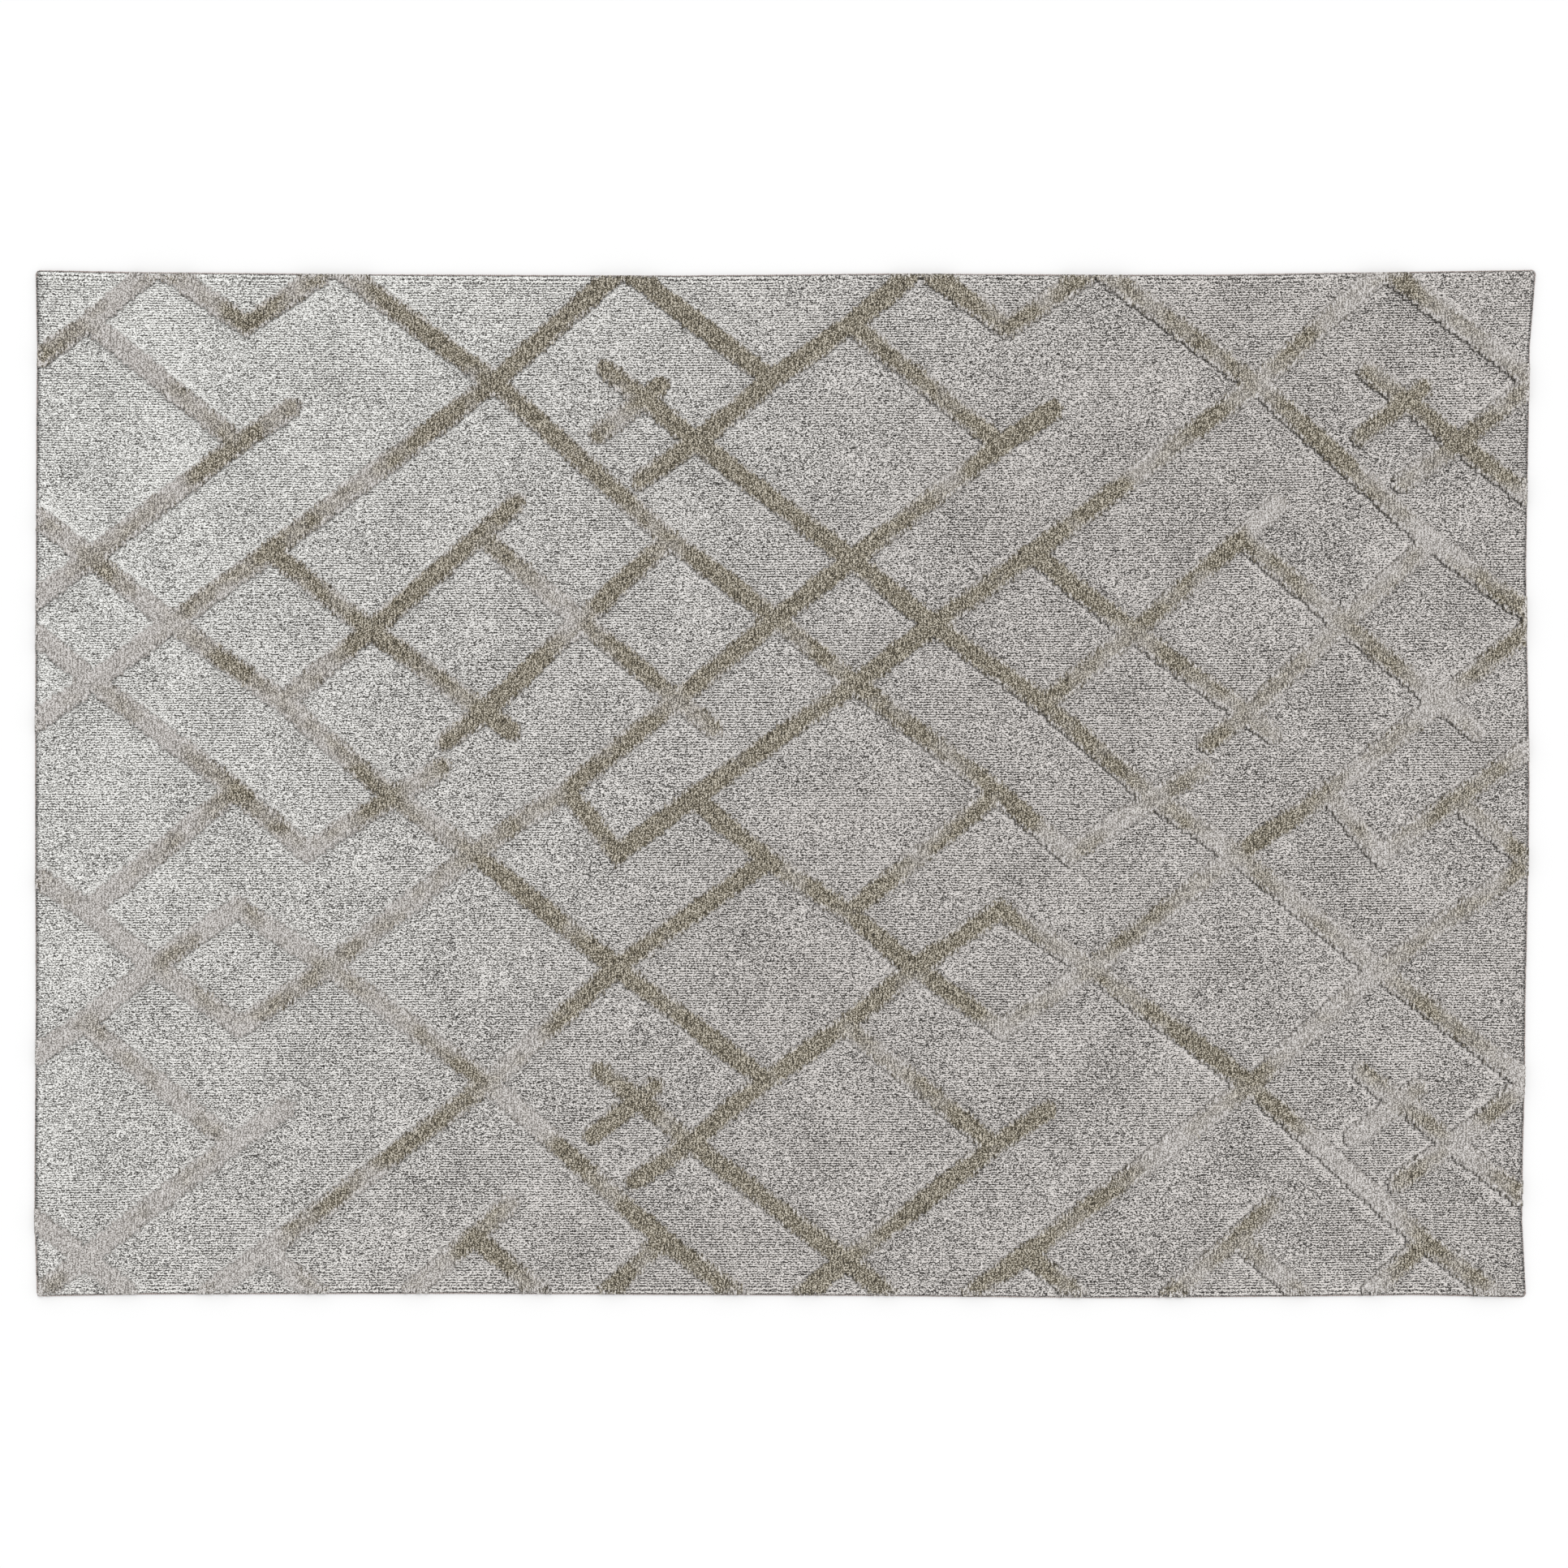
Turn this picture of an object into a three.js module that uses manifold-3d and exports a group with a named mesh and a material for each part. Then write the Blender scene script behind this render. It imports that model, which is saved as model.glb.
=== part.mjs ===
// A machine-woven area rug with raised pile bands, as separate layers that nest without touching.
// Millimetres, +Z up, +X along the rug's long side, +Y towards its back edge. The origin is under the
// middle of the rug, on the floor.
import * as THREE from "three";
import { mergeVertices } from "three/addons/utils/BufferGeometryUtils.js";
import Module from "manifold-3d";

const wasm = await Module();
wasm.setup();

// ---- Driving dimensions ----
const rugLength = 2300; // over the furthest corners, along X
const rugWidth = 1575; // over the furthest corners, along Y
const clearance = 0.3; // kept between any two neighbouring pieces

const coatThickness = 0.9; // latex brushed onto the back
const backingThickness = 1.8; // woven foundation
const groundBase = 1.0; // the part of the ground weave that no band interrupts
const groundHeight = 3.8; // ground weave with its loops
const bandRise = 6.0; // raised pile above the ground loops
const bandWidth = 32;

const yarnThickness = 0.9; // overlock yarn round the edge
const bindingReach = 6.0; // how far the overlock laps over the face and the back
const cordDiameter = 3.1; // filler cord inside the overlock
const cornerRadius = 7; // of the rug's outer corners

// Levels, each worked out from the layer under it
const backingBottom = coatThickness + clearance;
const backingTop = backingBottom + backingThickness;
const groundBottom = backingTop + clearance;
const groundBaseTop = groundBottom + groundBase;
const groundTop = groundBottom + groundHeight;
const bandBottom = groundBaseTop + clearance;
const bandTop = groundTop + bandRise;
const lipBottom = groundBaseTop + clearance; // the overlock's upper lip rests over the ground's base
const bindingTop = lipBottom + yarnThickness;

// How far each layer stops short of the rug's edge
const cordInset = yarnThickness + clearance + cordDiameter / 2; // to the cord's centre
const foundationInset = yarnThickness + cordDiameter + 2 * clearance;
const faceInset = bindingReach + clearance;

const edgeSteps = 14; // straight pieces along each side of the rug
const capSegments = 6; // straight pieces in half a band's round end

// ---- Outline ----
// A woven rug is never quite square. Each side lists how far it lies inside the length by width
// rectangle, as [share of the way along, inset]: left to right on the long sides, and front to back
// on the short ones. The corners stand out as small ears where the overlock turns.
const sideInsets = {
  front: [[0, 2.5], [0.06, 5.5], [0.28, 6.5], [0.5, 4], [0.73, 0], [0.85, 2.5], [0.96, 5], [1, 1]],
  back: [[0, 0.5], [0.06, 3.5], [0.25, 7], [0.43, 8.5], [0.57, 5.5], [0.75, 7.5], [0.95, 2.5], [1, 0]],
  left: [[0, 3.5], [0.08, 0], [0.28, 2], [0.5, 1], [0.85, 3], [0.96, 4.5], [1, 2]],
  right: [[0, 15], [0.08, 21], [0.24, 16], [0.5, 9.5], [0.71, 14.5], [0.9, 10], [0.96, 8], [1, 0]],
};

// The inset of one side at a share of the way along it, on a smooth curve through its list.
function insetAt(side, share) {
  const stops = sideInsets[side];
  let i = 1;
  while (i < stops.length - 1 && share > stops[i][0]) i++;
  const [from, low] = stops[i - 1];
  const [to, high] = stops[i];
  const t = THREE.MathUtils.clamp((share - from) / (to - from), 0, 1);
  return low + (high - low) * t * t * (3 - 2 * t);
}

// The four sides in the order they are walked, anticlockwise from above, and the way each one runs.
const sides = ["front", "right", "back", "left"];

// A point of one side, a distance inside the edge. share runs anticlockwise.
function edgePoint(side, share, inset = 0) {
  const forward = side === "front" || side === "right" ? share : 1 - share;
  const depth = insetAt(side, forward) + inset;
  const along = cornerRadius;
  if (side === "front" || side === "back") {
    const left = -rugLength / 2 + insetAt("left", side === "front" ? 0 : 1) + along;
    const right = rugLength / 2 - insetAt("right", side === "front" ? 0 : 1) - along;
    const y = side === "front" ? -rugWidth / 2 + depth : rugWidth / 2 - depth;
    return new THREE.Vector2(left + (right - left) * forward, y);
  }
  const front = -rugWidth / 2 + insetAt("front", side === "left" ? 0 : 1) + along;
  const back = rugWidth / 2 - insetAt("back", side === "left" ? 0 : 1) - along;
  const x = side === "left" ? -rugLength / 2 + depth : rugLength / 2 - depth;
  return new THREE.Vector2(x, front + (back - front) * forward);
}

// The centre of the arc that joins a side to the next one round.
function cornerCentre(index) {
  const end = edgePoint(sides[index], 1, cornerRadius);
  const start = edgePoint(sides[(index + 1) % 4], 0, cornerRadius);
  return index % 2 === 0 ? new THREE.Vector2(end.x, end.y) : new THREE.Vector2(start.x, start.y);
}

// The closed outline of a layer that stops a distance short of the rug's edge.
function outline(inset) {
  const points = [];
  sides.forEach((side, index) => {
    for (let i = 0; i <= edgeSteps; i++) points.push(edgePoint(side, i / edgeSteps, inset));
    const centre = cornerCentre(index);
    const radius = cornerRadius - inset;
    if (radius < clearance) return;
    for (let i = 1; i < 4; i++) {
      const angle = ((index - 1) * Math.PI) / 2 + (i * Math.PI) / 8;
      const reach = new THREE.Vector2(Math.cos(angle), Math.sin(angle)).multiplyScalar(radius);
      points.push(reach.add(centre));
    }
  });
  return new THREE.Shape(points);
}

// ---- Solids ----
// An upright prism over a shape, between two levels.
function slab(shape, bottom, top) {
  const geometry = new THREE.ExtrudeGeometry(shape, {
    depth: top - bottom,
    bevelEnabled: false,
    curveSegments: capSegments,
  });
  return geometry.translate(0, 0, bottom);
}

// A closed three.js geometry as a manifold-3d solid.
function toSolid(geometry) {
  const bare = geometry.clone();
  bare.deleteAttribute("normal");
  bare.deleteAttribute("uv");
  const merged = mergeVertices(bare, 1e-3);
  return new wasm.Manifold(new wasm.Mesh({
    numProp: 3,
    vertProperties: merged.attributes.position.array,
    triVerts: new Uint32Array(merged.index.array),
  }));
}

// A manifold-3d solid as a three.js geometry.
function toGeometry(solid) {
  const mesh = solid.getMesh();
  const geometry = new THREE.BufferGeometry();
  geometry.setAttribute("position", new THREE.BufferAttribute(mesh.vertProperties, 3));
  geometry.setIndex(new THREE.BufferAttribute(mesh.triVerts, 1));
  return geometry;
}

// ---- The bands' pattern ----
// One motif repeats across and down the rug. The weave drifts a little off square, so each repeat
// across also drops by acrossDrop, and each repeat down also moves left by downDrift.
const motifWidth = 1165;
const motifHeight = 1072;
const acrossDrop = 4;
const downDrift = 9;
const motifCorner = new THREE.Vector2(-1129, 772); // the first motif's upper left corner

// The places where bands meet or bend, and their free ends, in centimetres right of and down from a
// motif's corner
const meet = (x, y) => ({ x, y });
const freeEnd = (x, y) => ({ x, y, free: true });
const knot = {
  a: meet(68.5, 15.5), b: meet(34.5, 41.5), c: meet(19.5, 52.5), d: meet(7, 42.5),
  e: meet(7.5, 61.5), f: meet(6.5, 6.5), g: meet(29.5, 25), h: meet(50, 53.5),
  i: meet(36.5, 64.5), j: meet(67.5, 66), k: meet(82, 52), l: meet(97, 64),
  m: meet(66.5, 39), n: meet(95.5, 39.5), o: meet(112, 51.5), p: meet(111, 15),
  q: meet(99.5, 24.5), r: meet(91.5, 18), t: meet(53.5, 79), u: meet(40.5, 87.5),
  v: meet(29.5, 78), w: meet(66, 87.5), x: meet(80, 78), y: meet(88, 87.5),
  z: meet(99.5, 79), leftFoot: meet(7, 96.5), lowCross: meet(17, 105),
  diamondTop: meet(30, 96), diamondFoot: meet(30.5, 7), midFoot: meet(44, 105),
  rightFoot: meet(88, 105), rightTee: meet(111, 88.5),
};
const stub = {
  g: freeEnd(37.5, 19.5), jLeft: freeEnd(61.5, 70.5), jRight: freeEnd(71.5, 69),
  l: freeEnd(102.5, 68.5), m: freeEnd(72, 34), q: freeEnd(91, 30.5), rLeft: freeEnd(84.5, 23.5),
  rUp: freeEnd(85.5, 13.5), rRight: freeEnd(94, 16), t: freeEnd(61, 74.5),
};
const right = (k) => ({ ...k, x: k.x + motifWidth / 10 });
const left = (k) => ({ ...k, x: k.x - motifWidth / 10 });
const below = (k) => ({ ...k, y: k.y + motifHeight / 10 });

// Each run of raised pile, as the knots it passes. A run that starts or ends at a knot stops inside
// another run there, and one that starts or ends at a stub has a round end in the open.
const runs = [
  [left(below(stub.q)), left(below(knot.q)), left(below(knot.p)), below(knot.f), knot.lowCross,
    knot.diamondTop, knot.midFoot, below(knot.a), below(knot.n), below(knot.o),
    right(below(knot.e)), right(below(knot.v)), right(below(knot.u)), right(below(knot.t)),
    right(below(stub.t))],
  [stub.rUp, knot.r, knot.q, right(knot.d), right(knot.c), right(knot.i), right(knot.t),
    right(knot.w), right(knot.rightFoot), right(below(knot.p))],
  [left(knot.z), left(knot.rightTee), knot.leftFoot, knot.lowCross, below(knot.diamondFoot),
    knot.midFoot, knot.w, knot.x, knot.l, knot.o, right(knot.d), right(knot.g), right(stub.g)],
  [knot.rightTee, knot.rightFoot, below(knot.a), below(knot.b), below(knot.c), below(knot.e),
    left(below(knot.z)), left(below(knot.y)), left(below(knot.x))],
  [knot.f, knot.g],
  [knot.v, knot.leftFoot],
  [knot.b, knot.h, knot.j, stub.jRight],
  [knot.n, knot.k, knot.j, stub.jLeft],
  [knot.m, knot.k, knot.l, stub.l],
  [stub.m, knot.m, knot.h, knot.i],
  [stub.rRight, knot.r, stub.rLeft],
];

// A knot's place on the rug, in the motif that is so many across and down.
function place({ x, y }, across, down) {
  const u = across + (x * 10) / motifWidth;
  const v = down + (y * 10) / motifHeight;
  return new THREE.Vector2(
    motifCorner.x + u * motifWidth - v * downDrift,
    motifCorner.y - v * motifHeight - u * acrossDrop,
  );
}

// The flat shape of a band along a line of points, mitred where it bends and round at a free end.
function bandShape(points, halfWidth, roundStart, roundEnd) {
  const normals = points.slice(1).map((p, i) => {
    const step = p.clone().sub(points[i]).normalize();
    return new THREE.Vector2(-step.y, step.x);
  });
  const offsets = points.map((p, i) => {
    const before = normals[Math.max(i - 1, 0)];
    const after = normals[Math.min(i, normals.length - 1)];
    const mitre = before.clone().add(after).normalize();
    return mitre.multiplyScalar(halfWidth / mitre.dot(after));
  });
  const last = points.length - 1;
  return new THREE.Shape([
    ...points.map((p, i) => p.clone().sub(offsets[i])),
    ...(roundEnd ? roundCap(points[last], offsets[last].clone().negate()) : []),
    ...points.map((p, i) => p.clone().add(offsets[i])).reverse(),
    ...(roundStart ? roundCap(points[0], offsets[0]) : []),
  ]);
}

// The points of a half circle from centre + arm round to centre - arm, without its two ends.
function roundCap(centre, arm) {
  const points = [];
  for (let i = 1; i < capSegments; i++) {
    const turned = arm.clone().rotateAround(new THREE.Vector2(), (i * Math.PI) / capSegments);
    points.push(turned.add(centre));
  }
  return points;
}

// Every band of every motif that reaches the rug, joined where they cross.
function bandNetwork(halfWidth, bottom, top) {
  const pieces = [];
  for (let across = -2; across <= 2; across++)
    for (let down = -2; down <= 2; down++)
      for (const run of runs) {
        const points = run.map((k) => place(k, across, down));
        if (!points.some((p, i) => i > 0 && crossesRug(points[i - 1], p))) continue;
        const shape = bandShape(points, halfWidth, run[0].free, run.at(-1).free);
        pieces.push(toSolid(slab(shape, bottom, top)));
      }
  return wasm.Manifold.union(pieces).asOriginal();
}

// Whether the box round a stretch of band overlaps the rug's rectangle.
function crossesRug(from, to) {
  const box = new THREE.Box2().setFromPoints([from, to]).expandByScalar(bandWidth);
  const half = new THREE.Vector2(rugLength / 2, rugWidth / 2);
  return box.intersectsBox(new THREE.Box2(half.clone().negate(), half));
}

// ---- Materials ----
function material(colour, roughness) {
  return new THREE.MeshStandardMaterial({ color: colour, roughness, metalness: 0 });
}
const latex = material(0xd9d2c2, 0.7);
const foundationYarn = material(0xc4b391, 0.9);
const groundYarn = material(0xb9b6b1, 0.95);
const pileYarn = material(0x8f8876, 0.85);
const bindingYarn = material(0x8d817a, 0.8);
const fillerCord = material(0xcfc6b4, 0.9);

const rug = new THREE.Group();
function addPiece(name, geometry, finish) {
  const mesh = new THREE.Mesh(geometry, finish);
  mesh.name = name;
  rug.add(mesh);
}

// ---- Layers ----
function addLatexCoat() {
  addPiece("latex_coat", slab(outline(faceInset), 0, coatThickness), latex);
}

function addBackingWeave() {
  const geometry = slab(outline(foundationInset), backingBottom, backingTop);
  addPiece("backing_weave", geometry, foundationYarn);
}

// The ground weave: an unbroken base, and loops above it with a channel where each band is rooted.
function addGroundWeave() {
  const base = toSolid(slab(outline(foundationInset), groundBottom, groundBaseTop));
  const loops = toSolid(slab(outline(faceInset), groundBaseTop - clearance, groundTop));
  const channels = bandNetwork(bandWidth / 2 + clearance, groundBaseTop, groundTop + clearance);
  const weave = base.add(loops).subtract(channels).asOriginal();
  addPiece("ground_weave", toGeometry(weave), groundYarn);
}

// The raised pile, one node for each separate island of it. The largest is the lattice that covers
// the rug, and the others are the tips of the motif that the rug's edges cut off.
function addRaisedPile() {
  const field = toSolid(slab(outline(faceInset), 0, bandTop + clearance));
  const pile = bandNetwork(bandWidth / 2, bandBottom, bandTop).intersect(field).asOriginal();
  const islands = pile.decompose();
  islands.sort((one, two) => two.volume() - one.volume());
  islands.forEach((island, index) => {
    const name = index === 0 ? "raised_lattice" : `raised_tip_${index}`;
    addPiece(name, toGeometry(island), pileYarn);
  });
}

// ---- Edge ----
// A line at the rug's edge, walked anticlockwise, for a section to be swept along. A section's own
// x is down and its y is inwards.
class SideLine extends THREE.Curve {
  constructor(side, inset, level) {
    super();
    Object.assign(this, { side, inset, level });
  }
  getPoint(t) {
    const length = this.side === "front" || this.side === "back" ? rugLength : rugWidth;
    const end = clearance / length; // leaves the gap to the corner piece
    const point = edgePoint(this.side, end + t * (1 - 2 * end), this.inset);
    return new THREE.Vector3(point.x, point.y, this.level);
  }
}

class CornerArc extends THREE.Curve {
  constructor(index) {
    super();
    this.index = index;
  }
  getPoint(t) {
    const centre = cornerCentre(this.index);
    const angle = ((this.index - 1 + t) * Math.PI) / 2;
    return new THREE.Vector3(
      centre.x + cornerRadius * Math.cos(angle),
      centre.y + cornerRadius * Math.sin(angle),
      0,
    );
  }
}

// The overlock's section: a C that holds the cord and the foundation's edge.
function bindingSection() {
  const lip = [
    [yarnThickness / 2, 0], [0, yarnThickness / 2], [0, bindingReach],
    [yarnThickness, bindingReach], [yarnThickness, yarnThickness], [lipBottom, yarnThickness],
    [lipBottom, bindingReach], [bindingTop, bindingReach],
    [bindingTop, yarnThickness / 2], [bindingTop - yarnThickness / 2, 0],
  ];
  return new THREE.Shape(lip.map(([level, inwards]) => new THREE.Vector2(-level, inwards)));
}

function cordSection() {
  return new THREE.Shape().absarc(0, 0, cordDiameter / 2, 0, 2 * Math.PI, false);
}

function addEdges() {
  const cordLevel = yarnThickness + clearance + cordDiameter / 2;
  const corners = ["front_right", "back_right", "back_left", "front_left"];
  sides.forEach((side, index) => {
    const sweep = (path, steps) => ({ extrudePath: path, steps, curveSegments: 4 });
    const edge = new THREE.ExtrudeGeometry(bindingSection(), sweep(new SideLine(side, 0, 0), edgeSteps));
    addPiece(`overlock_${side}`, edge, bindingYarn);
    const cordPath = new SideLine(side, cordInset, cordLevel);
    const cord = new THREE.ExtrudeGeometry(cordSection(), sweep(cordPath, edgeSteps));
    addPiece(`edge_cord_${side}`, cord, fillerCord);
    const turn = new THREE.ExtrudeGeometry(bindingSection(), sweep(new CornerArc(index), 5));
    addPiece(`corner_overlock_${corners[index]}`, turn, bindingYarn);
  });
}

addLatexCoat();
addBackingWeave();
addGroundWeave();
addRaisedPile();
addEdges();

export default rug;
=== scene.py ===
import math

import bpy
import numpy as np
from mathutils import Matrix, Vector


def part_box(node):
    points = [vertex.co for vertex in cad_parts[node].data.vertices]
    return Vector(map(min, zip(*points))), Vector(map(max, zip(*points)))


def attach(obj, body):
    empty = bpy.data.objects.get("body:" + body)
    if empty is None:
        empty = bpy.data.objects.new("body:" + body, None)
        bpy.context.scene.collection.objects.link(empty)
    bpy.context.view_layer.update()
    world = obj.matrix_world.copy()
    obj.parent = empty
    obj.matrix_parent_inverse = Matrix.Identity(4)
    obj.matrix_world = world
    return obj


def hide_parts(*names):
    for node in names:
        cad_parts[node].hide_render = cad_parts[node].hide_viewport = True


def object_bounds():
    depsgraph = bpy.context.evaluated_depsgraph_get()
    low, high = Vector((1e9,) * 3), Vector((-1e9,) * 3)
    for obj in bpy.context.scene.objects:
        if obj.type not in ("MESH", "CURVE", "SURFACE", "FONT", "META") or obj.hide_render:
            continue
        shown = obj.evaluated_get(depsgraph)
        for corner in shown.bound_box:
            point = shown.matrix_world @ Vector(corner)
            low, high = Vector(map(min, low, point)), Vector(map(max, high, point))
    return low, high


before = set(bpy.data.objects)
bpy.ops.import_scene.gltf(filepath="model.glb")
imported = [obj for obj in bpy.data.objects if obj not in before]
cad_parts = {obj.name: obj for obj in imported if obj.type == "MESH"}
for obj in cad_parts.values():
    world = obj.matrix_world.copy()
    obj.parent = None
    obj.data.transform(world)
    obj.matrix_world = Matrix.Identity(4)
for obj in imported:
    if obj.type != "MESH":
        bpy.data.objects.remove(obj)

MM = 0.001
CAD_BOX = [list(corner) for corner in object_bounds()]
rng = np.random.default_rng(20261118)

# ---- Sizes ----
RUG_LENGTH = CAD_BOX[1][0] - CAD_BOX[0][0]
RUG_WIDTH = CAD_BOX[1][1] - CAD_BOX[0][1]
ROW_PITCH = 3.8 * MM  # between rows of ground loops, across the rug
LOOP_PITCH = 4.5 * MM  # between neighbouring loops, and between columns of pile tufts
WRAP_PITCH = 3.0 * MM  # between turns of the overlock yarn
PLY_TWIST = 9.0 * MM  # one full turn of the filler cord's plies
FACE_INSET = 6.3 * MM  # from the rug's edge to the latex coat's edge
CLOTH_INSET = 4.6 * MM  # from the rug's edge to the rims of the ground weave and the backing
CORD_INSET = 2.75 * MM  # from the rug's edge to the middle of a filler cord
SPILL = 4.6 * MM  # how far the outermost loops and tufts lie out over the overlock
SPILL_START = 14.0 * MM  # from the rug's edge to where that spreading begins
BORDER = 1.2 * MM  # of the overlock that stays in view from above
CORNER_RADIUS = 7.0 * MM
LOOP_RELIEF = 1.7 * MM  # from the ground's gaps up to its highest loops
LIP_DEPTH = 1.15 * MM  # from the ground's highest loops down to the overlock's upper lip
FOOT_DEPTH = 1.9 * MM  # from the ground's highest loops down to the pile's feet
NAP_TURN = 400 * MM  # right of the middle, over which the nap turns to lie to the back right
PLAN_REACH = 20 * MM  # how far from a band's outline its distance is still worked out

PILE_NODES = ["raised_lattice", "raised_tip_1", "raised_tip_2"]

# ---- Seeds of the soft noises ----
CALM_SEED, WANDER_SEED, STROKE_SEED, SWAY_SEED, SMEAR_SEED, WRAP_SEED = 3, 4, 11, 12, 21, 31
NOISE_CELLS = 256  # lumps along each side of a noise, after which it repeats
NOISE_SHIFT = 100.5  # in lumps, so that a noise's own start lies off the rug's middle


# ---- Helpers ----
def level(node, end):
    """A CAD node's lowest (0) or highest (1) level."""
    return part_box(node)[end][2]


def new_mesh(name, verts, faces, material):
    """One smooth-shaded piece from vertices and lists of equal-sided faces."""
    mesh = bpy.data.meshes.new(name)
    mesh.vertices.add(len(verts))
    mesh.vertices.foreach_set("co", np.ascontiguousarray(verts, dtype=np.float32).ravel())
    loops = np.concatenate([f.ravel() for f in faces]).astype(np.int32)
    sizes = np.concatenate([np.full(len(f), f.shape[1]) for f in faces])
    mesh.loops.add(len(loops))
    mesh.loops.foreach_set("vertex_index", loops)
    mesh.polygons.add(len(sizes))
    starts = np.concatenate([[0], np.cumsum(sizes)[:-1]]).astype(np.int32)
    mesh.polygons.foreach_set("loop_start", starts)
    mesh.polygons.foreach_set("use_smooth", np.ones(len(sizes), dtype=bool))
    mesh.update(calc_edges=True)
    mesh.validate()
    mesh.materials.append(material)
    piece = bpy.data.objects.new(name, mesh)
    bpy.context.collection.objects.link(piece)
    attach(piece, "root")
    return piece


def add_values(piece, name, values):
    """A number at each vertex, for the piece's material."""
    layer = piece.data.attributes.new(name, "FLOAT", "POINT")
    layer.data.foreach_set("value", np.ascontiguousarray(values, dtype=np.float32).ravel())


def smooth_noise(x, y, period, seed):
    """Soft noise from -1 to 1. Its lumps are a period across, given once or for x and for y."""
    grid = np.random.default_rng(seed).uniform(-1, 1, (NOISE_CELLS, NOISE_CELLS))
    period_x, period_y = period if isinstance(period, tuple) else (period, period)
    u, v = np.asarray(x) / period_x + NOISE_SHIFT, np.asarray(y) / period_y + NOISE_SHIFT
    i, j = np.floor(u).astype(int), np.floor(v).astype(int)
    s, t = u - i, v - j
    s, t = s * s * (3 - 2 * s), t * t * (3 - 2 * t)
    i0, i1 = i % NOISE_CELLS, (i + 1) % NOISE_CELLS
    j0, j1 = j % NOISE_CELLS, (j + 1) % NOISE_CELLS
    low = grid[j0, i0] * (1 - s) + grid[j0, i1] * s
    high = grid[j1, i0] * (1 - s) + grid[j1, i1] * s
    return low * (1 - t) + high * t


# ---- The rug's outline, read from the CAD's latex coat and moved out to the edge ----
def outline_lines():
    """The outer edge as four functions: left x and right x of y, front y and back y of x."""
    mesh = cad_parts["latex_coat"].data
    points = np.array([v.co for v in mesh.vertices])[:, :2]
    (x0, y0), (x1, y1) = points.min(axis=0), points.max(axis=0)
    margin = 30 * MM  # a side's points lie this near to the coat's outermost one

    def line(picked, along, across, out):
        chain = points[picked]
        chain = chain[np.argsort(chain[:, along])]
        return lambda at: np.interp(at, chain[:, along], chain[:, across]) + out

    return {
        "left": line(points[:, 0] < x0 + margin, 1, 0, -FACE_INSET),
        "right": line(points[:, 0] > x1 - margin, 1, 0, FACE_INSET),
        "front": line(points[:, 1] < y0 + margin, 0, 1, -FACE_INSET),
        "back": line(points[:, 1] > y1 - margin, 0, 1, FACE_INSET),
    }


EDGE = outline_lines()


def laid_grid(inset, along, across):
    """Points of a cloth whose threads follow the rug's edges, a distance inside them. along and
    across are distances from the left and front, for a cloth of nominal size."""
    u, v = np.meshgrid(along / along[-1], across / across[-1])
    nominal_y = (v - 0.5) * RUG_WIDTH
    left, right = EDGE["left"](nominal_y) + inset, EDGE["right"](nominal_y) - inset
    x = left + (right - left) * u
    front, back = EDGE["front"](x) + inset, EDGE["back"](x) - inset
    return x, front + (back - front) * v


def to_edges(x, y):
    """How far points are inside each of the rug's four edges: left, right, front and back."""
    return (x - EDGE["left"](y), EDGE["right"](y) - x, y - EDGE["front"](x), EDGE["back"](x) - y)


def spilled(x, y):
    """Points near the rug's edges, moved out over the overlock."""
    left, right, front, back = (
        SPILL * np.clip((SPILL_START - d) / (SPILL_START - FACE_INSET), 0, 1)
        for d in to_edges(x, y))
    x, y = x - left + right, y - front + back
    x = np.clip(x, EDGE["left"](y) + BORDER, EDGE["right"](y) - BORDER)
    return x, np.clip(y, EDGE["front"](x) + BORDER, EDGE["back"](x) - BORDER)


def grid_faces(rows, columns):
    """The quads between a grid's points, which are counted row by row."""
    i = np.arange(rows * columns).reshape(rows, columns)
    quads = np.stack([i[:-1, :-1], i[:-1, 1:], i[1:, 1:], i[1:, :-1]], -1)
    return quads.reshape(-1, 4)


def rim(rows, columns):
    """The grid's outer vertices in order, anticlockwise from above."""
    i = np.arange(rows * columns).reshape(rows, columns)
    return np.concatenate([i[0, :-1], i[:-1, -1], i[-1, :0:-1], i[:0:-1, 0]])


def closed_cloth(name, x, y, top, bottom, material, relief_below=False):
    """A cloth with its relief on one side and a plain flat face on the other."""
    rows, columns = x.shape
    relief, plain = (bottom, top) if relief_below else (top, bottom)
    face = np.stack([x, y, relief], -1).reshape(-1, 3)
    ring = rim(rows, columns)
    flat = face[ring].copy()
    flat[:, 2] = plain
    count = len(ring)
    below = np.arange(count) + len(face)
    after = np.roll(np.arange(count), -1)
    walls = np.stack([below, below[after], ring[after], ring], -1)
    faces, cap = grid_faces(rows, columns), below[::-1].reshape(1, -1)
    if relief_below:
        faces, walls, cap = faces[:, ::-1], walls[:, ::-1], cap[:, ::-1]
    verts = np.concatenate([face, flat])
    return new_mesh(name, verts, [faces, walls, cap], material)


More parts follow.
